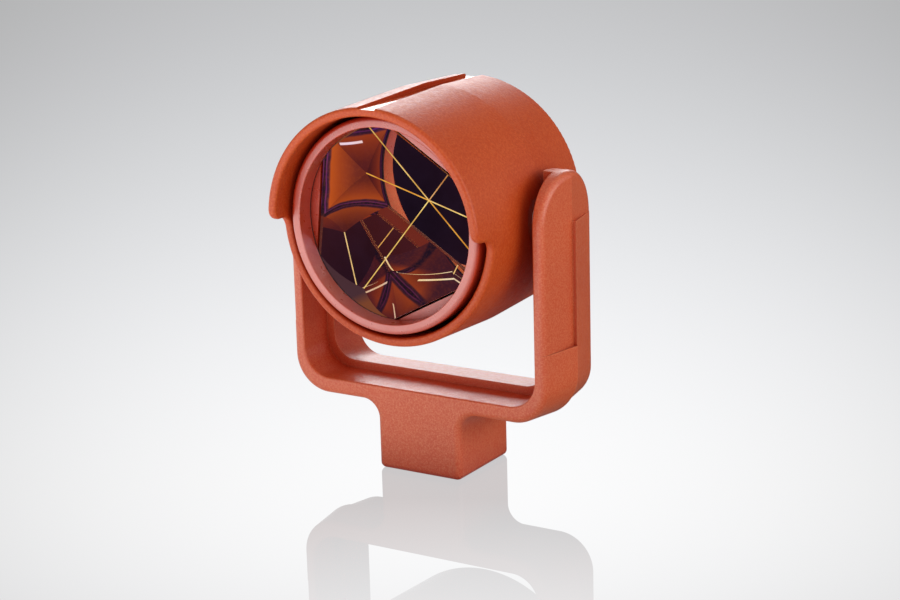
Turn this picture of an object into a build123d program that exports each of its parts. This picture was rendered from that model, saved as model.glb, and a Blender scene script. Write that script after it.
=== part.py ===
from build123d import *
import os
from math import cos, sin, radians, sqrt

# Survey prism: a corner-cube reflector in a hooded barrel that tilts in a yoke
# with a spigot socket in its stem.
# Frame: origin at the centre of the stem's bottom seat, +Z up, the prism looks
# along -Y, +X is on the right of an observer who faces the prism. Millimetres.

os.makedirs("parts", exist_ok=True)

# ---------------------------------------------------------------- dimensions
AXIS_Z = 86.0          # tilt axis above the seat
SIDES = {"left": -1, "right": 1}

# clearances
PRESS_GAP = 0.01       # pressed bushes and pads, radial
CLOSE_GAP = 0.02
GAP = 0.03             # between most neighbouring pieces
SEAT_GAP = 0.05        # at the ends of bushes and round the catch ball

# yoke: two drafted moulded halves that meet at a parting plane on Y = 0
HALF_D = 15.7          # half depth of the yoke, also the arm-end radius
W_FACE = 47.1          # half width at the front and rear faces
W_SHALLOW = 49.15      # half width at the parting plane, shallow draft
W_STEEP = 50.4         # half width at the parting plane, steep draft
Z_FRONT = 22.8         # underside of the bar at the front face
Z_REAR = 23.4          # underside of the bar at the rear face
R_OUT = 12.0           # outer corner radius at the faces
BAR_DRAFT = 1.3        # drop of the bar's underside at the parting plane
Z_STEP_F = 46.0        # height where the front half changes draft
TOP = 125.0            # construction height above the arm ends
W_IN_F = 43.4          # half width of the opening, front half
Z_IN_F = 28.0          # floor of the opening, front half
R_IN_F = 9.5
W_DRAFT_F = 0.1        # draft of the front opening's sides
Z_DRAFT_F = 0.2        # draft of its floor
Y_STEP = -2.3          # plane of the step between front and rear openings
W_IN_R = 40.4          # half width of the opening, rear half, at the step
Z_IN_R = 30.9
R_IN_R = 8.0
W_IN_E = 42.2          # flared opening at the rear face
Z_IN_E = 27.6
R_IN_E = 9.0
STEM = 15.5            # half width of the stem
STEM_H = 26.0          # the stem runs up into the bar
R_STEM = 6.0           # concave radius between stem and bar
R_EDGE = 2.1           # rounding of the yoke's outer edges
R_SILL = 0.7           # rounding round the opening
R_FOOT = 1.9           # rounding round the seat
BOSS_R = 9.0           # bearing bosses on the inside of the arms
BOSS_L = 4.5

# socket for a 12 mm spigot, with its catch
BORE_R = 6.03
BORE_L = 24.0
BUSH_R = 8.2
BUSH_L = 24.5
CATCH_Z = 11.0         # height of the catch ball
BALL_R = 2.5
BALL_Y = BORE_R + BALL_R + GAP   # as a spigot holds it, just clear of the bore
BALL_HOLE_R = BALL_R + SEAT_GAP
BALL_MOUTH_R = 2.15    # hole into the bore, too small for the ball
BALL_SEAT_Y = 6.6
SPRING_Y = BALL_Y + 2.28
SPRING_R = 1.65
SPRING_PITCH = 0.58
SPRING_TURNS = 3
WIRE_R = 0.22
PLUG_SEAT_Y = 12.4     # step in the catch bore
PLUG_SEAT_R = 3.55
PLUG_R = 3.5
PLUG_Y = 12.9
PLUG_L = 2.4
PLUG_SLOT_Y = 14.4     # floor of the slot
PLUG_SLOT_W = 0.9

# pivots
PIN_R = 4.0
PIN_FIT = 0.03         # running clearance, radial
PIN_X = 35.0           # shaft start, inside the flange
PIN_END = 46.3
PIN_CHAMFER = 0.6
ARM_BUSH_R = 5.6
ARM_BUSH_END = 46.6
FLANGE_R = 7.0
FLANGE_X = 34.0        # inner face of the pin flange
FLANGE_T = 1.6
HEX_R = 2.0            # hexagon socket, to its corners
HEX_DEPTH = 3.0
PAD_X = 38.9           # flat spot on the barrel, distance from the middle
PAD_R = 10.5
WASHER_R = 7.2
WASHER_FIT = 0.1       # radial

# barrel, radii from the tilt axis's height
B_FRONT = -39.3        # hood edge
B_LIP = -30.2          # lower edge of the mouth
B_REAR = 24.9
B_TAPER = -9.0         # the bore narrows from here to the hood edge
R_MID = 39.75          # outside radius at the parting plane
R_HOOD = 38.5          # outside radius at the hood edge
R_REAR = 38.85         # outside radius at the rear edge
R_BORE = 36.4          # inside radius
R_MOUTH = 35.6         # inside radius at the hood edge
GROOVE_W = 6.5         # sighting channel on top
GROOVE_FLOOR = 37.9    # height above the axis
BULK_Y0, BULK_Y1 = 10.2, 13.2   # bulkhead that carries the prism cell
BULK_FIT = 0.1         # radial clearance round the cell
HOOD_EDGE = -0.3       # height of the hood's lower edge above the axis
R_HOOD_CORNER = 3.8
R_LIP_IN = 4.0
R_RIM = 1.1            # rounding of the mouth's rim
FLANGE_SEAT_X = 35.65  # seats for the pin flanges inside the wall
FLANGE_SEAT_R = 7.8
FLANGE_SEAT_T = 2.6

# prism cell
CELL_R = 33.1
CELL_IN = 32.1
CELL_Y0, CELL_Y1 = -28.98, 18.7
SHOULDER_R = 35.6
SHOULDER_T = 1.8
LEDGE_GAP = 0.35       # between the glass's front edges and the cell's ledges
LEDGE_T = 1.6
BEZEL_Y0 = -32.2
BEZEL_Y1 = -25.0
BEZEL_R = 34.4
BEZEL_IN = 31.05
BEZEL_EDGE = 1.4       # rounding of the bezel's outer front edge
BEZEL_EDGE_IN = 0.4
SEAL_SPACE = 0.6       # between the bezel and the glass

# glass and backing cup
GLASS_R = 31.6
GLASS_Y = -25.8        # front face
GLASS_H = 38.04        # depth of the cube corner behind the front face
GLASS_CHAMFER = 0.45
APEX_X, APEX_Z = -0.76, 2.51    # the corner's point, measured from the axis
CANT_AXIS = (3.47, 3.65, 0.05)  # the corner is turned slightly about this line
CANT = 5.04                     # by this many degrees
CHORD_ANGLES = (180.0, 60.0, -60.0)
CUP_Y0, CUP_Y1 = -9.8, 14.2
CUP_SETBACK = 0.5      # of the cup's apex behind the glass's
CUP_FIT = 0.1          # radial
GLASS_PAD_Y = GLASS_Y + 3.5
GLASS_PAD_L = 8.0
GLASS_PAD_W = 11.0

# closing pieces behind the cup
CAP_Y0 = 15.6          # inside face of the cell cap
DISC_IN, DISC_OUT = 24.0, 30.5  # radii of the disc spring
DISC_T = 0.6
SPANNER_PCR = 27.0
SPANNER_R = 1.5
SPANNER_DEPTH = 1.6
LOCK_R = 36.1
LOCK_T = 3.0
LOCK_SLOT_PCR = 35.5
LOCK_SLOT_DEPTH = 1.6
COVER_Y0 = 20.7        # inside face of the rear cover
COVER_SEAL_Y = COVER_Y0 + 1.6
COVER_SEAL_R = 35.63
COVER_CORD_R = 0.7

# cover screws
SCREW_PCR = 24.5       # pitch radius of the cover screws
BOSS_SCREW_R = 4.0
BOSS_END = COVER_Y0 - GAP
TAP_R = 1.52
TAP_DEPTH = 4.5
SCREW_HOLE_R = 1.6
HEAD_HOLE_R = 3.1
HEAD_FLOOR = COVER_Y0 + 1.3      # floor of the counterbores
HEAD_Y = HEAD_FLOOR + GAP
HEAD_R = 2.75
HEAD_T = 1.6
HEAD_EDGE = 0.6
SHANK_R = 1.48
SHANK_L = 5.4
CROSS_L, CROSS_W = 2.8, 0.6
CROSS_DEPTH = 0.9

CUT_REACH = 60.0       # far enough sideways to pass through everything
BEHIND_Y = 30.0        # clear of the rear cover

BARREL_AXIS = Axis((0, 0, AXIS_Z), (0, 1, 0))


# ------------------------------------------------------------ sketch planes
def front_plane(y, z=AXIS_Z):
    """Upright plane facing -Y, centred at x = 0 and z; its x, y are X, Z.

    Extrusions from it run to the front when positive, to the rear when negative.
    """
    return Plane(origin=(0, y, z), x_dir=(1, 0, 0), z_dir=(0, -1, 0))


def side_plane(x):
    """Upright plane facing +X, centred on the tilt axis; its x, y are Y, Z."""
    return Plane(origin=(x, 0, AXIS_Z), x_dir=(0, 1, 0), z_dir=(1, 0, 0))


def screw_places():
    return PolarLocations(SCREW_PCR, 3, start_angle=90)


def revolved(profile):
    """Solid turned about the barrel's axis from (y, radius) points."""
    with BuildPart() as piece:
        with BuildSketch(side_plane(0)):
            with BuildLine():
                Polyline(*profile, close=True)
            make_face()
        revolve(axis=BARREL_AXIS)
    return piece.part


# ---------------------------------------------------------------------- yoke
def drafted_block(start, end, y_start, y_end):
    """Solid between two rounded outlines, each (half width, floor, corner radius)."""
    with BuildPart() as block:
        width, floor, radius = start
        with BuildSketch(front_plane(y_start, 0)):
            with Locations((0, (TOP + floor) / 2)):
                RectangleRounded(2 * width, TOP - floor, radius)
        width, floor, radius = end
        with BuildSketch(front_plane(y_end, 0)):
            with Locations((0, (TOP + floor) / 2)):
                RectangleRounded(2 * width, TOP - floor, radius)
        loft(ruled=True)
    return block.part


def openings():
    """Space for the barrel: wider in front, flared towards the rear."""
    front = drafted_block(
        (W_IN_F - W_DRAFT_F, Z_IN_F + Z_DRAFT_F, R_IN_F),
        (W_IN_F + W_DRAFT_F, Z_IN_F, R_IN_F),
        Y_STEP,
        -HALF_D - 1,
    )
    rear = drafted_block(
        (W_IN_R, Z_IN_R, R_IN_R), (W_IN_E, Z_IN_E, R_IN_E), Y_STEP, HALF_D + 0.3
    )
    return front, rear


def on_face(edge, y_face):
    """True for an edge that lies wholly in the front or rear face."""
    return abs(edge.center().Y - y_face) < 0.01 and all(
        abs(v.center().Y - y_face) < 0.01 for v in edge.vertices()
    )


def on_arm_end(edge):
    """True for an outline edge of the half-round arm ends."""
    centre = edge.center()
    return centre.Z > AXIS_Z + 1 and abs(centre.Y) > 3 and edge.length > 10


def yoke_half(side, parting_width, cavities):
    """Front (side -1) or rear (side 1) moulded half with one draft, edges rounded."""
    face = side * HALF_D
    underside = Z_FRONT if side < 0 else Z_REAR
    block = drafted_block(
        (parting_width, underside - BAR_DRAFT, R_OUT + parting_width - W_FACE),
        (W_FACE, underside, R_OUT),
        0,
        face,
    )
    with BuildPart() as half:
        add(block)
        # arm ends are half round about the tilt axis
        with BuildSketch(side_plane(0)):
            Circle(HALF_D)
            with Locations((0, -AXIS_Z / 2)):
                Rectangle(2 * HALF_D, AXIS_Z)
        extrude(amount=CUT_REACH, both=True, mode=Mode.INTERSECT)
        for cavity in cavities:
            add(cavity, mode=Mode.SUBTRACT)
        # half of the stem
        with BuildSketch(Plane.XY):
            with Locations((0, face / 2)):
                Rectangle(2 * STEM, HALF_D)
        extrude(amount=STEM_H)
        # corners between stem and bar
        fillet(
            half.edges().filter_by(
                lambda e: abs(abs(e.center().X) - STEM) < 0.05
                and 15 < e.center().Z < 25
                and abs(e.center().Y) < 14
            ),
            R_STEM,
        )
        # outer edges
        fillet(
            half.edges().filter_by(
                lambda e: (
                    on_face(e, face)
                    and e.geom_type != GeomType.BSPLINE
                    and e.center().Z > 0.1
                    and abs(e.center().Z - AXIS_Z) > 0.01
                )
                or (on_arm_end(e) and abs(e.center().X) > 45.5)
            ),
            R_EDGE,
        )
        # curved edges of the opening
        fillet(
            half.edges().filter_by(
                lambda e: on_face(e, face)
                and e.geom_type == GeomType.BSPLINE
                and 26.9 < e.center().Z < AXIS_Z
                and abs(e.center().X) < 43.6
            ),
            R_SILL,
        )
    return half.part


def trimmed(solid, height, keep):
    """The part of a solid above or below a level plane."""
    with BuildPart() as piece:
        add(solid)
        split(bisect_by=Plane.XY.offset(height), keep=keep)
    return piece.part


def yoke():
    cavities = openings()
    # both halves have the steep draft below and the shallow draft above
    quarters = [
        trimmed(yoke_half(side, width, cavities), height, keep)
        for side, width, height, keep in (
            (-1, W_STEEP, Z_STEP_F, Keep.BOTTOM),
            (1, W_STEEP, AXIS_Z, Keep.BOTTOM),
            (-1, W_SHALLOW, Z_STEP_F, Keep.TOP),
            (1, W_SHALLOW, AXIS_Z, Keep.TOP),
        )
    ]
    with BuildPart() as piece:
        for quarter in quarters:
            add(quarter)
        # seat edge
        fillet(
            piece.edges().filter_by(
                lambda e: abs(e.center().Z) < 0.01
                and abs(e.center().X) + abs(e.center().Y) > 10
            ),
            R_FOOT,
        )
        # bearing bosses on the inside of the arms
        for side in SIDES.values():
            with BuildSketch(side_plane(side * W_IN_R)):
                Circle(BOSS_R)
            extrude(amount=side * BOSS_L)
        # blind seats for the arm bushes
        seat_x = W_IN_R - 1
        for side in SIDES.values():
            with BuildSketch(side_plane(side * seat_x)):
                Circle(ARM_BUSH_R)
            extrude(amount=side * (ARM_BUSH_END + SEAT_GAP - seat_x), mode=Mode.SUBTRACT)
        # seat for the socket bush, closed at the top
        with BuildSketch(Plane.XY):
            Circle(BUSH_R)
        extrude(amount=BUSH_L + SEAT_GAP, mode=Mode.SUBTRACT)
        # stepped catch bore through the rear wall of the stem
        with BuildSketch(front_plane(BUSH_R - 0.6, CATCH_Z)):
            Circle(BALL_HOLE_R)
        extrude(amount=-(HALF_D - BUSH_R), mode=Mode.SUBTRACT)
        with BuildSketch(front_plane(PLUG_SEAT_Y, CATCH_Z)):
            Circle(PLUG_SEAT_R)
        extrude(amount=-5, mode=Mode.SUBTRACT)
    return piece.part


def socket_bush():
    """Steel bush that takes the spigot, with a seat for the catch ball."""
    with BuildPart() as piece:
        with BuildSketch(Plane.XY):
            Circle(BUSH_R - PRESS_GAP)
        extrude(amount=BUSH_L)
        with BuildSketch(Plane.XY):
            Circle(BORE_R)
        extrude(amount=BORE_L, mode=Mode.SUBTRACT)
        for y, radius in ((5, BALL_MOUTH_R), (BALL_SEAT_Y, BALL_HOLE_R)):
            with BuildSketch(front_plane(y, CATCH_Z)):
                Circle(radius)
            extrude(amount=-5, mode=Mode.SUBTRACT)
    return piece.part


# --------------------------------------------------------------------- catch
def catch_ball():
    with BuildPart() as piece:
        with Locations((0, BALL_Y, CATCH_Z)):
            Sphere(BALL_R)
    return piece.part


def catch_spring():
    with BuildPart() as piece:
        with BuildLine() as coil:
            Helix(
                pitch=SPRING_PITCH,
                height=SPRING_TURNS * SPRING_PITCH,
                radius=SPRING_R,
                center=(0, SPRING_Y, CATCH_Z),
                direction=(0, 1, 0),
            )
        with BuildSketch(Plane(origin=coil.line @ 0, z_dir=coil.line % 0)):
            Circle(WIRE_R)
        sweep(is_frenet=True)
    return piece.part


def catch_plug():
    """Disc with a slot across its rear face."""
    with BuildPart() as piece:
        with BuildSketch(front_plane(PLUG_Y, CATCH_Z)):
            Circle(PLUG_R)
        extrude(amount=-PLUG_L)
        with BuildSketch(front_plane(PLUG_SLOT_Y, CATCH_Z)):
            Rectangle(9, PLUG_SLOT_W)
        extrude(amount=-2, mode=Mode.SUBTRACT)
    return piece.part


# -------------------------------------------------------------------- barrel
def housing():
    # wall: widest at the parting plane, drafted both ways, bulkhead inside
    bulk_in = CELL_R + BULK_FIT
    wall = revolved([
        (B_FRONT, R_HOOD),
        (0, R_MID),
        (B_REAR, R_REAR),
        (B_REAR, R_BORE),
        (BULK_Y1, R_BORE),
        (BULK_Y1, bulk_in),
        (BULK_Y0, bulk_in),
        (BULK_Y0, R_BORE),
        (B_TAPER, R_BORE),
        (B_FRONT, R_MOUTH),
    ])
    with BuildPart() as piece:
        add(wall)
        # the lower half of the mouth is set back, leaving the hood
        with BuildSketch(side_plane(0)) as mouth:
            with BuildLine():
                Polyline(
                    (B_FRONT - 5, HOOD_EDGE),
                    (B_LIP, HOOD_EDGE),
                    (B_LIP, -50),
                    (B_FRONT - 5, -50),
                    close=True,
                )
            make_face()
            fillet(
                mouth.vertices().filter_by(lambda v: abs(v.X - B_LIP) < 0.1 and v.Y > -10),
                R_LIP_IN,
            )
        extrude(amount=CUT_REACH, both=True, mode=Mode.SUBTRACT)
        # rounded corners of the hood
        fillet(
            piece.edges().filter_by(
                lambda e: abs(e.center().Y - B_FRONT) < 0.5
                and abs(e.center().Z - AXIS_Z - HOOD_EDGE) < 0.5
                and abs(e.center().X) > 30
            ),
            R_HOOD_CORNER,
        )
        # rounded rims, front and rear
        fillet(
            piece.edges().filter_by(
                lambda e: e.center().Y < B_LIP + 0.5
                and not (e.geom_type == GeomType.LINE and abs(e.center().X) > 36.9)
                and e.length > 1
            ),
            R_RIM,
        )
        fillet(
            piece.edges().filter_by(
                lambda e: abs(e.center().Y - B_REAR) < 0.1 and e.length > 200
            ),
            R_RIM * 0.7,
        )
        # sighting channel along the top, level floor
        with BuildSketch(Plane.XY.offset(AXIS_Z + GROOVE_FLOOR)):
            with Locations((0, (B_FRONT + B_REAR) / 2)):
                Rectangle(GROOVE_W, B_REAR - B_FRONT + 4)
        extrude(amount=5, mode=Mode.SUBTRACT)
        # seats for the pin flanges on the inside of the wall
        for side in SIDES.values():
            with BuildSketch(side_plane(side * FLANGE_SEAT_X)):
                Circle(FLANGE_SEAT_R)
            extrude(amount=side * FLANGE_SEAT_T)
        # flat spots for the friction washers, and the pin holes
        for side in SIDES.values():
            with BuildSketch(side_plane(side * PAD_X)):
                Circle(PAD_R)
            extrude(amount=side * 3, mode=Mode.SUBTRACT)
            with BuildSketch(side_plane(side * 33)):
                Circle(PIN_R + CLOSE_GAP)
            extrude(amount=side * 9, mode=Mode.SUBTRACT)
    return piece.part


# -------------------------------------------------------------------- pivots
def side_ring(side, x_start, x_end, radius, hole):
    """Plain ring about the tilt axis, on the left (side -1) or right (side 1)."""
    with BuildPart() as piece:
        with BuildSketch(side_plane(side * x_start)):
            Circle(radius)
            Circle(hole, mode=Mode.SUBTRACT)
        extrude(amount=side * (x_end - x_start))
    return piece.part


def arm_bush(side):
    """Plain bush pressed into the arm."""
    return side_ring(
        side, W_IN_R + CLOSE_GAP, ARM_BUSH_END, ARM_BUSH_R - PRESS_GAP, PIN_R + PIN_FIT
    )


def friction_washer(side):
    return side_ring(side, PAD_X + GAP, W_IN_R - GAP, WASHER_R, PIN_R + WASHER_FIT)


def pivot_pin(side):
    """Flanged pin pushed out through the barrel wall into the arm bush."""
    with BuildPart() as piece:
        with BuildSketch(side_plane(side * FLANGE_X)):
            Circle(FLANGE_R)
        extrude(amount=side * FLANGE_T)
        with BuildSketch(side_plane(side * PIN_X)):
            Circle(PIN_R)
        extrude(amount=side * (PIN_END - PIN_X))
        chamfer(
            piece.edges().filter_by(lambda e: abs(e.center().X - side * PIN_END) < 0.01),
            PIN_CHAMFER,
        )
        # hexagon socket in the flange
        with BuildSketch(side_plane(side * FLANGE_X)):
            RegularPolygon(HEX_R, 6)
        extrude(amount=side * HEX_DEPTH, mode=Mode.SUBTRACT)
    return piece.part


# --------------------------------------------------------------- cube corner
def mirror_normal(angle):
    """Outward normal of the mirror plane whose front edge faces the angle."""
    normal = Vector(
        cos(radians(angle)) * sqrt(2 / 3),
        sqrt(1 / 3),
        sin(radians(angle)) * sqrt(2 / 3),
    )
    return normal.rotate(Axis((0, 0, 0), CANT_AXIS), CANT)


def front_edges(gap):
    """Corners of the triangle that the mirror planes cut in the front plane."""
    # each line as (direction x, direction z, distance from the axis)
    lines = []
    for angle in CHORD_ANGLES:
        normal = mirror_normal(angle)
        size = sqrt(normal.X**2 + normal.Z**2)
        dir_x, dir_z = normal.X / size, normal.Z / size
        distance = dir_x * APEX_X + dir_z * APEX_Z + normal.Y * GLASS_H / size + gap
        lines.append((dir_x, dir_z, distance))
    corners = []
    for i in range(3):
        (x1, z1, dist1), (x2, z2, dist2) = lines[i], lines[(i + 1) % 3]
        det = x1 * z2 - x2 * z1
        corners.append(((dist1 * z2 - dist2 * z1) / det, (x1 * dist2 - x2 * dist1) / det))
    return corners


def cube_corner(radius, length, setback):
    """Round blank cut by three square planes through one apex."""
    apex = (APEX_X, GLASS_Y + GLASS_H + setback, AXIS_Z + APEX_Z)
    with BuildPart() as piece:
        with BuildSketch(front_plane(GLASS_Y)):
            Circle(radius)
        extrude(amount=-length)
        for angle in CHORD_ANGLES:
            split(bisect_by=Plane(origin=apex, z_dir=mirror_normal(angle)), keep=Keep.BOTTOM)
    return piece.part


def prism_glass():
    corner = cube_corner(GLASS_R, GLASS_H + 2, 0)
    with BuildPart() as piece:
        add(corner)
        chamfer(
            piece.edges().filter_by(lambda e: abs(e.center().Y - GLASS_Y) < 0.01),
            GLASS_CHAMFER,
        )
    return piece.part


def prism_cup():
    """Backing cup: same three planes, set back a little from the glass."""
    core = cube_corner(GLASS_R + 20, GLASS_H + 4, CUP_SETBACK)
    with BuildPart() as piece:
        with BuildSketch(front_plane(CUP_Y0)):
            Circle(CELL_IN - CUP_FIT)
        extrude(amount=-(CUP_Y1 - CUP_Y0))
        add(core, mode=Mode.SUBTRACT)
    return piece.part


def glass_pads():
    """Three elastomer pads between the round lands of the glass and the can."""
    with BuildPart() as piece:
        with BuildSketch(front_plane(GLASS_PAD_Y)):
            with PolarLocations(GLASS_R + 0.2, 3):
                Rectangle(4, GLASS_PAD_W)
            Circle(CELL_IN - PRESS_GAP, mode=Mode.INTERSECT)
            Circle(GLASS_R + PRESS_GAP, mode=Mode.SUBTRACT)
        extrude(amount=-GLASS_PAD_L)
    return piece.part


# ---------------------------------------------------------------- prism cell
def prism_cell():
    # can with a shoulder that stops against the bulkhead
    shoulder_end = BULK_Y0 - CLOSE_GAP
    can = revolved([
        (CELL_Y0, CELL_R),
        (BULK_Y0 - SHOULDER_T, CELL_R),
        (BULK_Y0 - SHOULDER_T, SHOULDER_R),
        (shoulder_end, SHOULDER_R),
        (shoulder_end, CELL_R),
        (CELL_Y1, CELL_R),
        (CELL_Y1, CELL_IN),
        (CELL_Y0, CELL_IN),
    ])
    with BuildPart() as piece:
        add(can)
        # three ledges that fill the can outside the flats of the glass
        with BuildSketch(front_plane(GLASS_Y)):
            Circle(CELL_IN + 0.3)
            with BuildLine():
                Polyline(*front_edges(LEDGE_GAP), close=True)
            make_face(mode=Mode.SUBTRACT)
        extrude(amount=-LEDGE_T)
    return piece.part


def bezel_ring():
    can_end = CELL_Y0 - CLOSE_GAP
    seal_y = GLASS_Y - SEAL_SPACE
    ring = revolved([
        (BEZEL_Y0, BEZEL_R),
        (BEZEL_Y1, BEZEL_R),
        (BEZEL_Y1, CELL_R + GAP),
        (can_end, CELL_R + GAP),
        (can_end, CELL_IN - GAP),
        (seal_y, CELL_IN - GAP),
        (seal_y, BEZEL_IN),
        (BEZEL_Y0, BEZEL_IN + 0.1),
    ])
    with BuildPart() as piece:
        add(ring)
        fillet(
            piece.edges().filter_by(
                lambda e: abs(e.center().Y - BEZEL_Y0) < 0.01 and e.radius > 33
            ),
            BEZEL_EDGE,
        )
        fillet(
            piece.edges().filter_by(
                lambda e: abs(e.center().Y - BEZEL_Y0) < 0.01 and e.radius < 32
            ),
            BEZEL_EDGE_IN,
        )
    return piece.part


def front_seal():
    """Flat ring between the bezel and the glass."""
    with BuildPart() as piece:
        with BuildSketch(side_plane(0)):
            with Locations((GLASS_Y - SEAL_SPACE / 2, (BEZEL_IN + CELL_IN) / 2)):
                Rectangle(SEAL_SPACE - 2 * GAP, CELL_IN - BEZEL_IN - 0.1)
        revolve(axis=BARREL_AXIS)
    return piece.part


def disc_spring():
    """Disc spring that keeps the cup against the glass."""
    front, rear = CUP_Y1 + GAP, CAP_Y0 - GAP
    return revolved([
        (front, DISC_IN),
        (front + DISC_T, DISC_IN),
        (rear, DISC_OUT),
        (rear - DISC_T, DISC_OUT),
    ])


def cell_cap():
    """Screw cap that closes the can, with three bosses for the cover screws."""
    with BuildPart() as piece:
        with BuildSketch(front_plane(CAP_Y0)):
            Circle(CELL_IN - GAP)
        extrude(amount=-(CELL_Y1 - CAP_Y0))
        with BuildSketch(front_plane(CELL_Y1)):
            with screw_places():
                Circle(BOSS_SCREW_R)
        extrude(amount=-(BOSS_END - CELL_Y1))
        with BuildSketch(front_plane(BOSS_END)):
            with screw_places():
                Circle(TAP_R)
        extrude(amount=TAP_DEPTH, mode=Mode.SUBTRACT)
        # spanner holes
        with BuildSketch(front_plane(CELL_Y1)):
            with PolarLocations(SPANNER_PCR, 2):
                Circle(SPANNER_R)
        extrude(amount=SPANNER_DEPTH, mode=Mode.SUBTRACT)
    return piece.part


def lock_ring():
    """Ring nut that draws the can's shoulder against the bulkhead."""
    front = BULK_Y1 + GAP
    with BuildPart() as piece:
        with BuildSketch(front_plane(front)):
            Circle(LOCK_R)
            Circle(CELL_R + GAP, mode=Mode.SUBTRACT)
        extrude(amount=-LOCK_T)
        # four slots in the rear face
        with BuildSketch(front_plane(front + LOCK_T)):
            with PolarLocations(LOCK_SLOT_PCR, 4):
                Rectangle(3, 3.2)
        extrude(amount=LOCK_SLOT_DEPTH, mode=Mode.SUBTRACT)
    return piece.part


# ---------------------------------------------------------------- rear cover
# section of the cover: (distance behind its inside face, radius)
COVER_PROFILE = (
    (0, 0), (0, 36.2), (0.8, 36.2),
    (0.8, 34.9), (2.4, 34.9), (2.4, 36.2),       # groove for the seal
    (3.1, 36.2), (3.6, 35.6), (3.6, 32.0),       # raised rim
    (2.8, 31.2), (2.8, 18.6),                    # flat with the screws
    (3.5, 17.6), (3.9, 10.0), (4.0, 0),          # raised middle
)


def rear_cover():
    disc = revolved([(COVER_Y0 + y, radius) for y, radius in COVER_PROFILE])
    with BuildPart() as piece:
        add(disc)
        # screw holes, then their counterbores
        for radius, depth in ((SCREW_HOLE_R, 12), (HEAD_HOLE_R, BEHIND_Y - HEAD_FLOOR)):
            with BuildSketch(front_plane(BEHIND_Y)):
                with screw_places():
                    Circle(radius)
            extrude(amount=depth, mode=Mode.SUBTRACT)
    return piece.part


def cover_seal():
    with BuildPart() as piece:
        with BuildSketch(side_plane(0)):
            with Locations((COVER_SEAL_Y, COVER_SEAL_R)):
                Circle(COVER_CORD_R)
        revolve(axis=BARREL_AXIS)
    return piece.part


def cover_screws():
    head_end = HEAD_Y + HEAD_T
    with BuildPart() as piece:
        with BuildSketch(front_plane(HEAD_Y)):
            with screw_places():
                Circle(HEAD_R)
        extrude(amount=-HEAD_T)
        fillet(
            piece.edges().filter_by(lambda e: abs(e.center().Y - head_end) < 0.01),
            HEAD_EDGE,
        )
        with BuildSketch(front_plane(HEAD_Y)):
            with screw_places():
                Circle(SHANK_R)
        extrude(amount=SHANK_L)
        # cross recess
        with BuildSketch(front_plane(head_end)):
            with screw_places():
                Rectangle(CROSS_L, CROSS_W)
                Rectangle(CROSS_W, CROSS_L)
        extrude(amount=CROSS_DEPTH, mode=Mode.SUBTRACT)
    return piece.part


# -------------------------------------------------------------------- export
def save(part, name):
    part.label = name
    export_step(part, f"parts/{name}.step")


# each file takes the name of the function that builds its piece
for build in (
    yoke, socket_bush, catch_ball, catch_spring, catch_plug,
    housing, prism_cell, bezel_ring, front_seal, prism_glass, prism_cup,
    glass_pads, disc_spring, cell_cap, lock_ring,
    rear_cover, cover_seal, cover_screws,
):
    save(build(), build.__name__)

for build in (arm_bush, pivot_pin, friction_washer):
    for side_name, side in SIDES.items():
        save(build(side), f"{build.__name__}_{side_name}")
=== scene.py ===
import math
import bpy
import bmesh
from mathutils import Matrix, Vector


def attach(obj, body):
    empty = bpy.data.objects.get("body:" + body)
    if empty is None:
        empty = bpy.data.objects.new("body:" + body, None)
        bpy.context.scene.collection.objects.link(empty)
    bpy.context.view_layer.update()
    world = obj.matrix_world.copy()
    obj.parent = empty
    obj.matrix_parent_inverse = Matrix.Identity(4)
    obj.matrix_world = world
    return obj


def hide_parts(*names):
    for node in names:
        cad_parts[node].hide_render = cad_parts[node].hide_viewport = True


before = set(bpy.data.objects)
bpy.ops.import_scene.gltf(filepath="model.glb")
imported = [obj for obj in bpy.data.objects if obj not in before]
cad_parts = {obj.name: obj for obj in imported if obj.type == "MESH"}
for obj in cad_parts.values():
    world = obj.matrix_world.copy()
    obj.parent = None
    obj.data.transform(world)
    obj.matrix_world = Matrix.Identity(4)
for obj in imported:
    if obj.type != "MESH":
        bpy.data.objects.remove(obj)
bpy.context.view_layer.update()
scene = bpy.context.scene

MM = 0.001
AXIS_Z = 86.0           # height of the prism's axis, mm
WHITE = (1.0, 1.0, 1.0)


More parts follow.
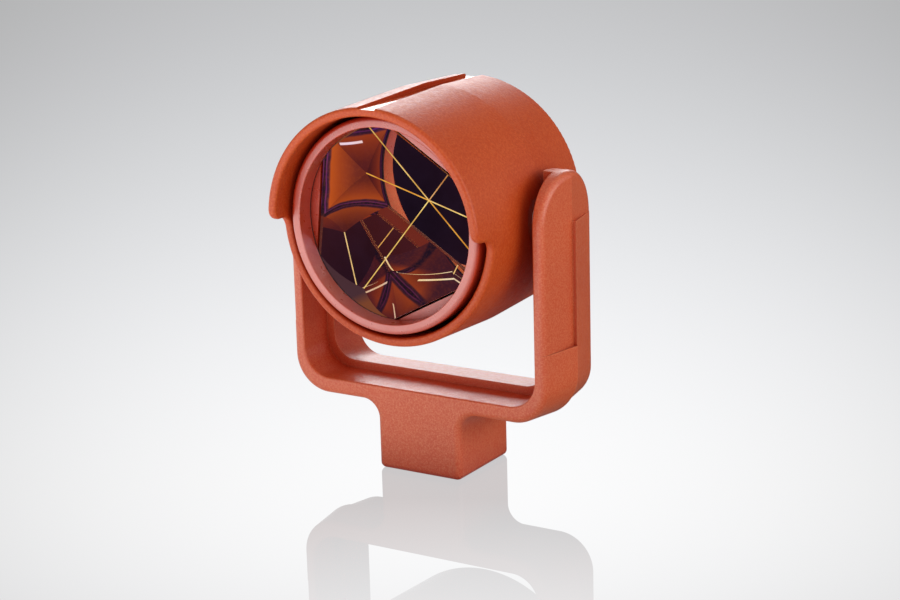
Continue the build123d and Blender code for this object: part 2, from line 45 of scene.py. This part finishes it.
# ------------------------------------------------------------------ node trees
class Graph:
    """Builds the node tree of a material or world. Values may be numbers, tuples or sockets."""

    def __init__(self, owner):
        owner.use_nodes = True
        self.owner = owner
        self.tree = owner.node_tree
        self.tree.nodes.clear()

    def put(self, socket, value):
        """Links a socket into an input, or sets its value; colours become opaque."""
        if isinstance(value, bpy.types.NodeSocket):
            self.tree.links.new(value, socket)
        elif socket.type == "RGBA":
            socket.default_value = (*value, 1.0)
        else:
            socket.default_value = value

    def node(self, kind, inputs=None, **settings):
        node = self.tree.nodes.new("ShaderNode" + kind)
        for name, value in settings.items():
            setattr(node, name, value)
        for key, value in (inputs or {}).items():
            self.put(node.inputs[key], value)
        return node

    def first(self, kind, inputs=None, **settings):
        """First output of a new node."""
        return self.node(kind, inputs, **settings).outputs[0]

    def output(self, surface, kind="Material"):
        self.node("Output" + kind, {0: surface})
        return self.owner

    def math(self, operation, *values, clamp=False):
        return self.first("Math", dict(enumerate(values)), operation=operation, use_clamp=clamp)

    def add(self, a, b):
        return self.math("ADD", a, b)

    def subtract(self, a, b):
        return self.math("SUBTRACT", a, b)

    def multiply(self, a, b):
        return self.math("MULTIPLY", a, b)

    def above(self, value, limit):
        return self.math("GREATER_THAN", value, limit)

    def below(self, value, limit):
        return self.math("LESS_THAN", value, limit)

    def between(self, value, low, high):
        return self.multiply(self.above(value, low), self.below(value, high))

    def rest(self, value):
        """One minus the value."""
        return self.subtract(1.0, value)

    def remap(self, value, span, to=(0.0, 1.0)):
        return self.first("MapRange", {
            "From Min": span[0], "From Max": span[1],
            "To Min": to[0], "To Max": to[1], "Value": value})

    def mix(self, factor, a, b):
        """Colour a where the factor is 0, b where it is 1."""
        return self.node("Mix", {0: factor, 6: a, 7: b}, data_type="RGBA").outputs[2]

    def noise(self, place, scale, detail=3.0, rough=0.5):
        return self.first("TexNoise", {
            "Scale": scale, "Detail": detail, "Roughness": rough, "Vector": place})

    def ramp(self, value, stops):
        node = self.node("ValToRGB", {0: value})
        elements = node.color_ramp.elements
        while len(elements) < len(stops):
            elements.new(0.5)
        for element, (position, colour) in zip(elements, stops):
            element.position = position
            element.color = (*colour, 1.0)
        return node.outputs[0]

    def coord(self, kind="Object"):
        return self.node("TexCoord").outputs[kind]

    def split(self, vector):
        """The x, y and z of a vector."""
        return self.node("SeparateXYZ", {0: vector}).outputs

    def dot(self, a, b):
        return self.node("VectorMath", {0: a, 1: b}, operation="DOT_PRODUCT").outputs["Value"]

    def light_path(self, name):
        return self.node("LightPath").outputs[name]

    def sharp_gloss(self, colour):
        return self.first("BsdfGlossy", {"Roughness": 0.0, "Color": colour})

    def emission(self, colour, strength=1.0):
        return self.first("Emission", {"Color": colour, "Strength": strength})

    def background(self, colour, strength):
        return self.first("Background", {"Color": colour, "Strength": strength})

    def blend(self, factor, a, b):
        """Shader a where the factor is 0, b where it is 1."""
        return self.first("MixShader", {0: factor, 1: a, 2: b})


def new_material(name):
    return Graph(bpy.data.materials.new(name))


# ------------------------------------------------------------------ plastics and metals
def moulding(name, base, dark, light, grain, rough, wear_and_highlight, specular, relief,
             polished=None, painted_glow=None):
    """Spark-textured moulded plastic: fine grain, cloudy tone, paler edges from wear and painted
    highlight, painted shade in the hollows, an optional painted glow through the glass.
    """
    painted_shade_red = (0.34, 0.014, 0.005)
    painted_shade_dulling = 0.95       # sheen taken off in the painted shade of the hollows
    speck_strength = 0.3
    medium_relief = 0.6         # height of the medium grain against the fine
    ior = 1.49
    g = new_material(name)
    place = g.coord()
    fine = g.noise(place, scale=grain, detail=2.0, rough=0.6)
    medium = g.noise(place, scale=grain * 0.36, rough=0.6)
    cloud = g.noise(place, scale=38.0)
    speck = g.remap(g.noise(place, scale=grain * 1.3, detail=1.0), span=(0.56, 0.72))
    tone = g.mix(g.remap(cloud, span=(0.3, 0.7)), base, dark)
    tone = g.mix(g.remap(fine, span=(0.42, 0.62), to=(0.0, 0.28)), tone, light)
    tone = g.mix(g.multiply(speck, speck_strength), tone, light)

    # worn edges and painted edge highlights: paler where the normal of a small bevel differs from
    # the true normal
    bevel = g.first("Bevel", {"Radius": 0.0009}, samples=4)
    facing = g.dot(bevel, g.node("NewGeometry").outputs["Normal"])
    edge = g.remap(facing, span=(0.995, 0.90), to=(0.0, wear_and_highlight))
    edge = g.multiply(edge, g.remap(medium, span=(0.35, 0.6), to=(0.4, 1.0)))
    tone = g.mix(edge, tone, light)

    # painted shade: corners and hollows, found by ambient occlusion, go deep red and lose their
    # sheen
    occlusion = g.node("AmbientOcclusion", {"Distance": 0.014}, samples=4).outputs["AO"]
    painted_shade = g.remap(occlusion, span=(0.36, 0.90), to=(0.80, 0.0))
    tone = g.mix(painted_shade, tone, painted_shade_red)
    sheen = g.multiply(g.rest(g.multiply(painted_shade, painted_shade_dulling)), specular)

    roughness = g.remap(medium, span=(0.3, 0.7), to=(rough - 0.06, rough + 0.08))
    bump = g.node("Bump", {
        "Strength": relief, "Distance": 0.00012,
        "Height": g.add(fine, g.multiply(medium, medium_relief))})
    plastic = g.node("BsdfPrincipled", {
        "Base Color": tone, "Specular IOR Level": sheen, "IOR": ior, "Normal": bump.outputs[0]})
    if polished:
        # the floor of the sighting channel has no grain and shines
        smoothing = 0.72        # share of the roughness taken off
        extra_ior = 0.45
        x, _, z = g.split(place)
        inside = g.multiply(
            g.between(z, polished["bottom"], polished["top"]),
            g.below(g.math("ABSOLUTE", x), polished["half_width"]))
        roughness = g.multiply(roughness, g.rest(g.multiply(inside, smoothing)))
        g.put(bump.inputs["Strength"], g.multiply(g.rest(inside), relief))
        g.put(plastic.inputs["IOR"], g.add(ior, g.multiply(inside, extra_ior)))
    g.put(plastic.inputs["Roughness"], roughness)
    if painted_glow:
        # painted light: an emission seen only through the glass brightens the wall, in place of
        # light returned by the prism
        through_glass = g.light_path("Is Transmission Ray")
        patch = g.remap(g.noise(place, scale=70.0, detail=2.0), span=(0.35, 0.65), to=(0.65, 1.15))
        g.put(plastic.inputs["Emission Color"], painted_glow)
        g.put(plastic.inputs["Emission Strength"], g.multiply(through_glass, patch))
    return g.output(plastic.outputs[0])


def metal(name, colour, rough, scale, stretch=(1, 1, 1)):
    """Bare metal with fine drawn lines and cloudy dirt."""
    dirt = (0.2, 0.19, 0.18)
    g = new_material(name)
    place = g.coord()
    stretched = g.first("Mapping", {"Scale": stretch, "Vector": place})
    lines = g.noise(stretched, scale=scale, detail=4.0, rough=0.7)
    cloud = g.noise(place, scale=160.0)
    return g.output(g.first("BsdfPrincipled", {
        "Metallic": 1.0,
        "Base Color": g.mix(g.remap(cloud, span=(0.45, 0.75), to=(0.0, 0.35)), colour, dirt),
        "Roughness": g.remap(lines, span=(0.3, 0.7), to=(rough * 0.7, rough * 1.4)),
        "Normal": g.first("Bump", {"Strength": 0.15, "Distance": 0.00004, "Height": lines})}))


def polymer(name, colour, light, rough, grain):
    """Plain plastic or rubber with a fine grain."""
    g = new_material(name)
    place = g.coord()
    fine = g.noise(place, scale=grain, rough=0.6)
    cloud = g.noise(place, scale=90.0)
    tone = g.mix(g.remap(cloud, span=(0.35, 0.7), to=(0.0, 0.5)), colour, light)
    tone = g.mix(g.remap(fine, span=(0.5, 0.68), to=(0.0, 0.35)), tone, light)
    return g.output(g.first("BsdfPrincipled", {
        "Base Color": tone,
        "Roughness": g.remap(fine, span=(0.3, 0.7), to=(rough - 0.08, rough + 0.08)),
        "Normal": g.first("Bump", {"Strength": 0.25, "Distance": 0.00008, "Height": fine})}))


BODY = moulding(
    "moulding", base=(0.82, 0.104, 0.018), dark=(0.74, 0.082, 0.014), light=(0.98, 0.35, 0.16),
    grain=1700.0, rough=0.38, wear_and_highlight=0.6, specular=1.0, relief=0.6)
TUBE = moulding(
    "moulding_tube", base=(0.66, 0.074, 0.0065), dark=(0.60, 0.058, 0.005),
    light=(0.88, 0.20, 0.050), grain=1350.0, rough=0.38, wear_and_highlight=0.5, specular=0.5, relief=0.8,
    polished=dict(bottom=0.12384, top=0.12396, half_width=0.00327))
# the bezel and cell carry a painted glow, seen only through the glass
RING = moulding(
    "moulding_light", base=(0.72, 0.060, 0.016), dark=(0.66, 0.050, 0.012),
    light=(0.80, 0.11, 0.04), grain=900.0, rough=0.31, wear_and_highlight=0.35, specular=2.3, relief=0.0,
    painted_glow=(0.19, 0.040, 0.0))
STEEL = metal("steel", colour=(0.62, 0.61, 0.60), rough=0.28, scale=900.0, stretch=(1, 1, 6))
SPRING = metal("spring_steel", colour=(0.52, 0.52, 0.53), rough=0.25, scale=1500.0)
BALL = metal("ball_steel", colour=(0.72, 0.72, 0.73), rough=0.12, scale=1500.0)
ACETAL = polymer(
    "acetal", colour=(0.80, 0.79, 0.74), light=(0.88, 0.87, 0.84), rough=0.35, grain=1800.0)
BLACK = polymer(
    "black_plastic", colour=(0.018, 0.018, 0.020), light=(0.05, 0.05, 0.055),
    rough=0.5, grain=2200.0)
RUBBER = polymer(
    "rubber", colour=(0.012, 0.012, 0.012), light=(0.035, 0.034, 0.033), rough=0.62, grain=2600.0)

# ------------------------------------------------------------------ prism materials
GLASS_IOR = 1.52
GLASS_RADIUS = 31.6     # mm, like the other glass sizes
GLASS_FRONT = -25.8     # y of the front face
GLASS_HEIGHT = 38.04    # front face to apex


def optical_glass():
    """Clear glass with a coated front: a faint painted reflection outside, total reflection
    inside.
    """
    g = new_material("optical_glass")
    reflection_variation = g.noise(g.coord(), scale=140.0, detail=4.0, rough=0.6)
    clear = g.first("BsdfRefraction", {
        "IOR": GLASS_IOR, "Roughness": 0.0, "Color": (0.985, 0.985, 0.98)})
    fresnel = g.first("Fresnel", {"IOR": GLASS_IOR})
    total = g.above(fresnel, 0.995)
    body = g.blend(total, clear, g.sharp_gloss(WHITE))
    # painted reflection: an emission seen only by the camera gives the violet bloom of the front
    # coating, brighter at a slant
    strength = g.multiply(fresnel, g.remap(reflection_variation, span=(0.3, 0.7), to=(0.30, 0.46)))
    strength = g.multiply(strength, g.light_path("Is Camera Ray"))
    painted_coat_reflection = g.emission((0.42, 0.24, 0.62), strength)
    return g.output(g.first("AddShader", {0: body, 1: painted_coat_reflection}))


def mirror_coat():
    """Metal coating on the rear faces: copper at the first reflection, pale at later ones."""
    copper, dark_copper = (0.96, 0.66, 0.27), (0.95, 0.63, 0.24)
    pale, violet = (0.98, 0.92, 0.84), (0.62, 0.42, 0.80)
    g = new_material("mirror_coat")
    cloud = g.noise(g.coord(), scale=60.0, detail=2.0)
    facing = g.node("LayerWeight", {"Blend": 0.5}).outputs["Facing"]
    tint = g.mix(g.remap(cloud, span=(0.35, 0.65)), copper, dark_copper)
    tint = g.mix(g.above(g.light_path("Glossy Depth"), 0.5), tint, pale)
    tint = g.mix(g.remap(facing, span=(0.55, 0.9)), tint, violet)
    return g.output(g.sharp_gloss(tint))


def painted_side():
    """Lacquered side of the cylinder from inside, drawn as a painted glow: rim lines, amber,
    violet low on the left.
    """
    amber_stops = [     # (depth from the front as a share of 40 mm, colour)
        (0.0, (0.012, 0.006, 0.020)), (0.014, (0.012, 0.006, 0.020)),
        (0.020, (0.17, 0.04, 0.46)), (0.030, (0.030, 0.012, 0.08)),
        (0.048, (0.055, 0.018, 0.07)), (0.062, (0.44, 0.105, 0.012)),
        (0.15, (0.30, 0.064, 0.012)), (0.28, (0.15, 0.030, 0.016)),
        (0.60, (0.075, 0.018, 0.030))]
    violet_stops = [
        (0.0, (0.010, 0.006, 0.030)), (0.03, (0.020, 0.008, 0.045)),
        (0.06, (0.12, 0.030, 0.050)), (0.16, (0.080, 0.022, 0.070)),
        (0.5, (0.060, 0.018, 0.070))]
    grit_colour = (0.40, 0.12, 0.03)
    unmirrored_amber, unmirrored_violet = (0.16, 0.045, 0.012), (0.050, 0.020, 0.020)
    # colours of the painted highlight lines
    highlight_white, highlight_blue = (0.95, 1.15, 1.70), (0.92, 1.30, 2.90)
    highlight_half = 0.55                        # half width of a painted highlight line, mm
    top_y = -21.6                           # the straight painted highlight line, mm
    low_y, low_angle = -22.0, -107.0        # a point of the sloping painted highlight line, mm and degrees
    low_rise = 0.55                         # its slope, mm per degree
    highlight_boost = 0.40                       # extra brightness of the painted highlight lines

    g = new_material("painted_side")
    place = g.coord()
    cloud = g.noise(place, scale=85.0, detail=2.0)
    grit = g.noise(place, scale=900.0, detail=2.0, rough=0.6)
    x, y, z = g.split(place)
    depth = g.remap(y, span=(GLASS_FRONT * MM, (GLASS_FRONT + 40.0) * MM))
    depth = g.add(depth, g.remap(cloud, span=(0.3, 0.7), to=(-0.012, 0.012)))
    amber = g.ramp(depth, amber_stops)
    violet = g.ramp(depth, violet_stops)
    angle = g.math("ARCTAN2", g.subtract(z, AXIS_Z * MM), x)
    low = g.remap(angle, span=(math.radians(-124.0), math.radians(-116.0)), to=(1.0, 0.0))
    tone = g.mix(low, amber, violet)
    tone = g.mix(g.remap(grit, span=(0.45, 0.65), to=(0.0, 0.12)), tone, grit_colour)

    # painted highlights: pale glowing lines, only at set mirror bounces, drawn where the lacquer
    # would stop short of the coated faces
    bounces = g.light_path("Glossy Depth")

    def highlight_line(offset, start, end):
        """1 near the line offset = 0, between two angles in degrees."""
        line = g.remap(g.math("ABSOLUTE", offset),
                       span=(highlight_half * 0.6 * MM, highlight_half * MM), to=(1.0, 0.0))
        return g.multiply(line, g.between(angle, math.radians(start), math.radians(end)))

    def at_bounce(count):
        return g.math("COMPARE", bounces, count, 0.4)

    slope = g.add(g.multiply(angle, -low_rise * MM * 180 / math.pi),
                  (low_y + low_rise * low_angle) * MM)
    _, _, incoming_z = g.split(g.node("NewGeometry").outputs["Incoming"])
    low_highlight = g.math(
        "MAXIMUM",
        g.multiply(g.above(bounces, 5.5), highlight_line(g.subtract(y, slope), start=-129.0, end=-100.5)),
        g.multiply(at_bounce(5.0), highlight_line(g.subtract(y, slope), start=-129.0, end=-110.5)))
    top_highlight = g.multiply(at_bounce(2.0), highlight_line(g.add(y, -top_y * MM), start=-7.5, end=12.5))
    top_highlight = g.multiply(top_highlight, g.above(incoming_z, 0.0))
    pale = g.math("MAXIMUM", low_highlight, top_highlight)

    # painted shade: seen straight, without a mirror, the side takes darker colours
    unreflected = g.below(bounces, 0.5)
    tone = g.mix(unreflected, tone, g.mix(low, unmirrored_amber, unmirrored_violet))
    tone = g.mix(pale, tone, g.mix(g.remap(cloud, span=(0.38, 0.62)), highlight_white, highlight_blue))
    # every mirror on the way takes a little light
    strength = g.add(g.remap(bounces, span=(1.0, 3.0), to=(1.15, 0.62)),
                     g.multiply(pale, highlight_boost))
    # painted light: the side glows with its own emission instead of being lit
    return g.output(g.emission(tone, strength))


def ground_bevel():
    """Ground bevel of a front chord: in the mirrors a dull dark line, drawn as a dim painted glow.
    """
    plum, brown = (0.055, 0.018, 0.030), (0.16, 0.040, 0.020)
    mirrored_share = 0.8        # how far the line hides the glass in the mirrors
    g = new_material("ground_bevel")
    glass = g.first("BsdfGlass", {"IOR": GLASS_IOR, "Roughness": 0.35})
    vary = g.noise(g.coord(), scale=90.0, rough=0.6)
    line = g.emission(g.mix(g.remap(vary, span=(0.35, 0.65)), plum, brown))
    mirrored = g.above(g.light_path("Glossy Depth"), 0.5)
    return g.output(g.blend(g.multiply(mirrored, mirrored_share), glass, line))


def gold_edge():
    """Fine ground bevels along the three inner edges, drawn as glowing gold lines: painted
    highlights for the light of the coating.
    """
    gold, pale_gold, cool_white = (0.95, 0.56, 0.10), (0.97, 0.76, 0.26), (1.05, 1.12, 1.15)
    g = new_material("gold_edge")
    vary = g.noise(g.coord(), scale=130.0, rough=0.6)
    tone = g.mix(g.remap(vary, span=(0.35, 0.65)), gold, pale_gold)
    deep = g.above(g.light_path("Glossy Depth"), 2.5)
    tone = g.mix(deep, tone, cool_white)
    return g.output(g.emission(tone, g.remap(vary, span=(0.3, 0.7), to=(0.62, 1.10))))


GLASS = optical_glass()
COAT = mirror_coat()

PIECES = {
    "yoke": BODY, "housing": TUBE, "rear_cover": BODY, "bezel_ring": RING, "prism_cell": RING,
    "socket_bush": STEEL, "catch_ball": BALL, "catch_spring": SPRING, "catch_plug": STEEL,
    "arm_bush_left": ACETAL, "arm_bush_right": ACETAL,
    "friction_washer_left": ACETAL, "friction_washer_right": ACETAL,
    "pivot_pin_left": STEEL, "pivot_pin_right": STEEL,
    "front_seal": RUBBER, "cover_seal": RUBBER, "glass_pads": RUBBER,
    "prism_cup": BLACK, "disc_spring": SPRING, "cell_cap": BLACK, "lock_ring": BLACK,
    "cover_screws": STEEL, "prism_glass": GLASS,
}
for piece, piece_material in PIECES.items():
    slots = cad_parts[piece].data.materials
    slots.clear()
    slots.append(piece_material)

SIDE = painted_side()
BEVEL = ground_bevel()
EDGE = gold_edge()

# ------------------------------------------------------------------ the prism, in mm
SEGMENTS = 192
RIM_BEVEL = 0.45        # at the round front edge
BLANK_EXTRA = 2         # the uncut cylinder runs this far past the apex
CHORD_BEVEL = 0.42      # depth of the bevels at the front chords
EDGE_BEVEL = 0.16       # depth of the bevels between the mirror faces
CHORD_ANGLES = (180.0, 60.0, -60.0)
APEX = Vector((-0.76, GLASS_FRONT + GLASS_HEIGHT, AXIS_Z + 2.51))
CANT = Matrix.Rotation(math.radians(5.04), 3, Vector((3.47, 3.65, 0.05)))

PRISM_MATERIALS = (GLASS, COAT, BEVEL, EDGE, SIDE)
MIRROR_SLOT, CHORD_SLOT, EDGE_SLOT, SIDE_SLOT = 1, 2, 3, 4


def face_normal(angle):
    """Outward normal of the mirror face whose front edge faces the angle."""
    angle = math.radians(angle)
    across = math.sqrt(2 / 3)
    return CANT @ Vector((math.cos(angle) * across, math.sqrt(1 / 3), math.sin(angle) * across))


def cut(bm, point, normal, slot):
    """Cuts the convex solid by a plane, drops the normal's side and caps it."""
    geom = list(bm.verts) + list(bm.edges) + list(bm.faces)
    result = bmesh.ops.bisect_plane(
        bm, geom=geom, plane_co=point, plane_no=normal, clear_outer=True, dist=1e-6)
    edges = [part for part in result["geom_cut"] if isinstance(part, bmesh.types.BMEdge)]
    if edges:
        for face in bmesh.ops.contextual_create(bm, geom=edges)["faces"]:
            face.material_index = slot
            face.smooth = False


def add_cylinder(bm):
    """Closed cylinder along Y with a bevelled front rim."""
    stations = (        # (y, radius)
        (GLASS_FRONT, GLASS_RADIUS - RIM_BEVEL),
        (GLASS_FRONT + RIM_BEVEL, GLASS_RADIUS),
        (GLASS_FRONT + GLASS_HEIGHT + BLANK_EXTRA, GLASS_RADIUS))
    turns = [2 * math.pi * i / SEGMENTS for i in range(SEGMENTS)]
    rings = [[bm.verts.new((r * math.cos(turn), y, AXIS_Z + r * math.sin(turn)))
              for turn in turns] for y, r in stations]
    for near, far in zip(rings, rings[1:]):
        for i in range(SEGMENTS):
            j = (i + 1) % SEGMENTS
            face = bm.faces.new((near[i], near[j], far[j], far[i]))
            face.smooth = True
            face.material_index = SIDE_SLOT
    bm.faces.new(rings[0][::-1])
    bm.faces.new(rings[-1])
    bmesh.ops.recalc_face_normals(bm, faces=bm.faces)


def build_prism():
    bm = bmesh.new()
    add_cylinder(bm)
    normals = [face_normal(angle) for angle in CHORD_ANGLES]
    for normal in normals:
        cut(bm, APEX, normal, MIRROR_SLOT)
    # bevels along the three chords of the front face
    below_apex = Vector((APEX.x, GLASS_FRONT, APEX.z))
    for mirror in normals:
        normal = (mirror + Vector((0, -1, 0))).normalized()
        flat = Vector((mirror.x, 0, mirror.z))
        # a point both in the front plane and in the mirror plane
        point = below_apex + flat * ((APEX - below_apex).dot(mirror) / flat.dot(mirror))
        cut(bm, point - normal * CHORD_BEVEL, normal, CHORD_SLOT)
    # fine bevels along the three edges that meet at the apex
    for i in range(3):
        normal = (normals[i] + normals[(i + 1) % 3]).normalized()
        cut(bm, APEX - normal * EDGE_BEVEL, normal, EDGE_SLOT)
    bmesh.ops.recalc_face_normals(bm, faces=bm.faces)

    mesh = bpy.data.meshes.new("prism_optic")
    bm.to_mesh(mesh)
    bm.free()
    mesh.transform(Matrix.Scale(MM, 4))
    for material in PRISM_MATERIALS:
        mesh.materials.append(material)
    prism = bpy.data.objects.new("prism_optic", mesh)
    scene.collection.objects.link(prism)
    bpy.context.view_layer.update()
    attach(prism, "barrel")
    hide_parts("prism_glass")


build_prism()

# ------------------------------------------------------------------ backdrop and floor
# brightness of the sweep: a constant, then factors of v, v2, v3, d2, d2*v and d2*v2,
# where v runs up the frame from 0 to 1 and d is the distance from SWEEP_MIDDLE across it
SWEEP = (0.5803, 0.7460, -2.0807, 0.9477, -0.5653, -0.5320, 0.6670)
SWEEP_MIDDLE = 0.52
FLOOR_SHINE = 0.12      # share of the floor that mirrors
WALL = 3.3              # brightness of the wall it mirrors
FLOOR_HALF = 6.0
FLOOR_Z = -0.00005


def backdrop(g):
    """Height in the frame and level of the pale grey sweep behind the product."""
    u, v, _ = g.split(g.coord("Window"))
    across = g.subtract(u, SWEEP_MIDDLE)
    d2 = g.multiply(across, across)
    v2 = g.multiply(v, v)
    terms = (v, v2, g.multiply(v2, v), d2, g.multiply(d2, v), g.multiply(d2, v2))
    level = SWEEP[0]
    for factor, term in zip(SWEEP[1:], terms):
        level = g.add(level, g.multiply(term, factor))
    return v, g.add(g.multiply(level, 1.0 - FLOOR_SHINE), FLOOR_SHINE * WALL)


def tinted(g, v, level):
    """The level as a colour, cooler towards the top."""
    tint = g.mix(g.remap(v, span=(0.2, 0.9)), (1.0, 1.0, 1.01), (0.965, 0.99, 1.06))
    return g.first("VectorMath", {0: tint, "Scale": level}, operation="SCALE")


def floor_material():
    """Polished sheet: shows the sweep to the camera, lights the product from below."""
    unlit, lit = (0.11, 0.11, 0.112), (1.65, 1.65, 1.65)
    light_x, light_y = -0.55, -0.83     # the sheet is lit from the front left
    darkest = 0.02
    g = new_material("floor")
    v, level = backdrop(g)
    # the mirror image fades towards the lower edge; the sweep makes up for it
    shine = g.remap(v, span=(0.0, 0.17), to=(0.36 * FLOOR_SHINE, FLOOR_SHINE))
    level = g.math("DIVIDE", g.subtract(level, g.multiply(shine, WALL)), g.rest(shine))
    sweep = tinted(g, v, g.math("MAXIMUM", level, darkest))
    camera_ray = g.light_path("Is Camera Ray")
    x, y, _ = g.split(g.coord())
    ahead = g.add(g.multiply(x, light_x), g.multiply(y, light_y))
    sheet = g.mix(g.remap(ahead, span=(-0.05, 0.28)), unlit, lit)
    matt = g.emission(g.mix(camera_ray, sheet, sweep))
    return g.output(g.blend(g.multiply(camera_ray, shine), matt, g.sharp_gloss(WHITE)))


def build_floor():
    mesh = bpy.data.meshes.new("floor")
    corners = [(x * FLOOR_HALF, y * FLOOR_HALF, FLOOR_Z)
               for x, y in ((-1, -1), (1, -1), (1, 1), (-1, 1))]
    mesh.from_pydata(corners, [], [(0, 1, 2, 3)])
    floor = bpy.data.objects.new("floor", mesh)
    scene.collection.objects.link(floor)
    mesh.materials.append(floor_material())


build_floor()

# ------------------------------------------------------------------ studio light
PANELS = (      # (direction, sharpness, strength)
    ((-0.53, 0.80, 0.29), 40.0, 6.5),       # behind
    ((0.15, 0.00, 1.0), 4.0, 0.46),         # above
    ((-0.56, -0.82, 0.00), 7.0, 1.35),      # front left
    ((0.98, 0.02, 0.04), 7.0, 3.1),         # right
    ((0.72, -0.68, 0.20), 3.0, 0.14),       # front right, faint
)
AMBIENT = 0.10
TO_CAMERA = Vector((0.537, -0.811, 0.230)).normalized()


def build_world():
    violet, amber = (0.062, 0.018, 0.040), (0.30, 0.075, 0.016)
    camera_shadow = 0.97        # light the glass loses towards the camera
    world = bpy.data.worlds.new("studio")
    scene.world = world
    g = Graph(world)
    ray = g.coord("Generated")

    def lobe(direction, sharpness):
        """Smooth patch of light: 1 along the direction, falling off round it."""
        facing = g.dot(ray, Vector(direction).normalized())
        return g.math("EXPONENT", g.multiply(g.subtract(facing, 1.0), sharpness))

    total = None
    for direction, sharpness, strength in PANELS:
        part = g.multiply(lobe(direction, sharpness), strength)
        total = part if total is None else g.add(total, part)
    studio = g.background((0.985, 0.99, 1.0), g.add(total, AMBIENT))

    # what the coated glass lets through: dim violet with amber patches
    patches = g.add(lobe((-0.60, -0.70, 0.40), sharpness=7.0),
                    lobe((0.2, -0.6, 0.8), sharpness=9.0))
    patches = g.math("MULTIPLY", patches, 1.0, clamp=True)
    dimming = g.multiply(lobe(TO_CAMERA, sharpness=120.0), camera_shadow)
    seen = g.background(g.mix(patches, violet, amber), g.rest(dimming))
    path = g.node("LightPath").outputs
    through = path["Is Transmission Ray"]
    surface = g.blend(through, studio, seen)

    # the polished sheet mirrors an even white wall
    mirrored = g.multiply(path["Is Singular Ray"], g.rest(through))
    surface = g.blend(mirrored, surface, g.background(WHITE, WALL))

    # looked at directly the world carries the same sweep as the sheet
    v, level = backdrop(g)
    sweep = g.background(tinted(g, v, level), 1.0)
    g.output(g.blend(path["Is Camera Ray"], surface, sweep), "World")


build_world()

# ------------------------------------------------------------------ camera and render
CAMERA_PLACE = (0.37793, -0.59844, 0.24801)
CAMERA_RIGHT = Vector((0.85152, 0.52362, -0.02700)).normalized()
CAMERA_UP = Vector((-0.11584, 0.23811, 0.96430)).normalized()

lens = bpy.data.cameras.new("camera")
lens.sensor_width = 36.0
lens.lens = 90.747
lens.clip_start = 0.01
lens.clip_end = 50.0
camera = bpy.data.objects.new("camera", lens)
scene.collection.objects.link(camera)
camera_back = CAMERA_RIGHT.cross(CAMERA_UP)
pose = Matrix((CAMERA_RIGHT, CAMERA_UP, camera_back)).transposed().to_4x4()
pose.translation = CAMERA_PLACE
camera.matrix_world = pose
scene.camera = camera

scene.view_settings.view_transform = "Standard"
scene.cycles.max_bounces = 24
scene.cycles.transmission_bounces = 24
scene.cycles.glossy_bounces = 16
scene.cycles.diffuse_bounces = 4
scene.cycles.use_denoising = True
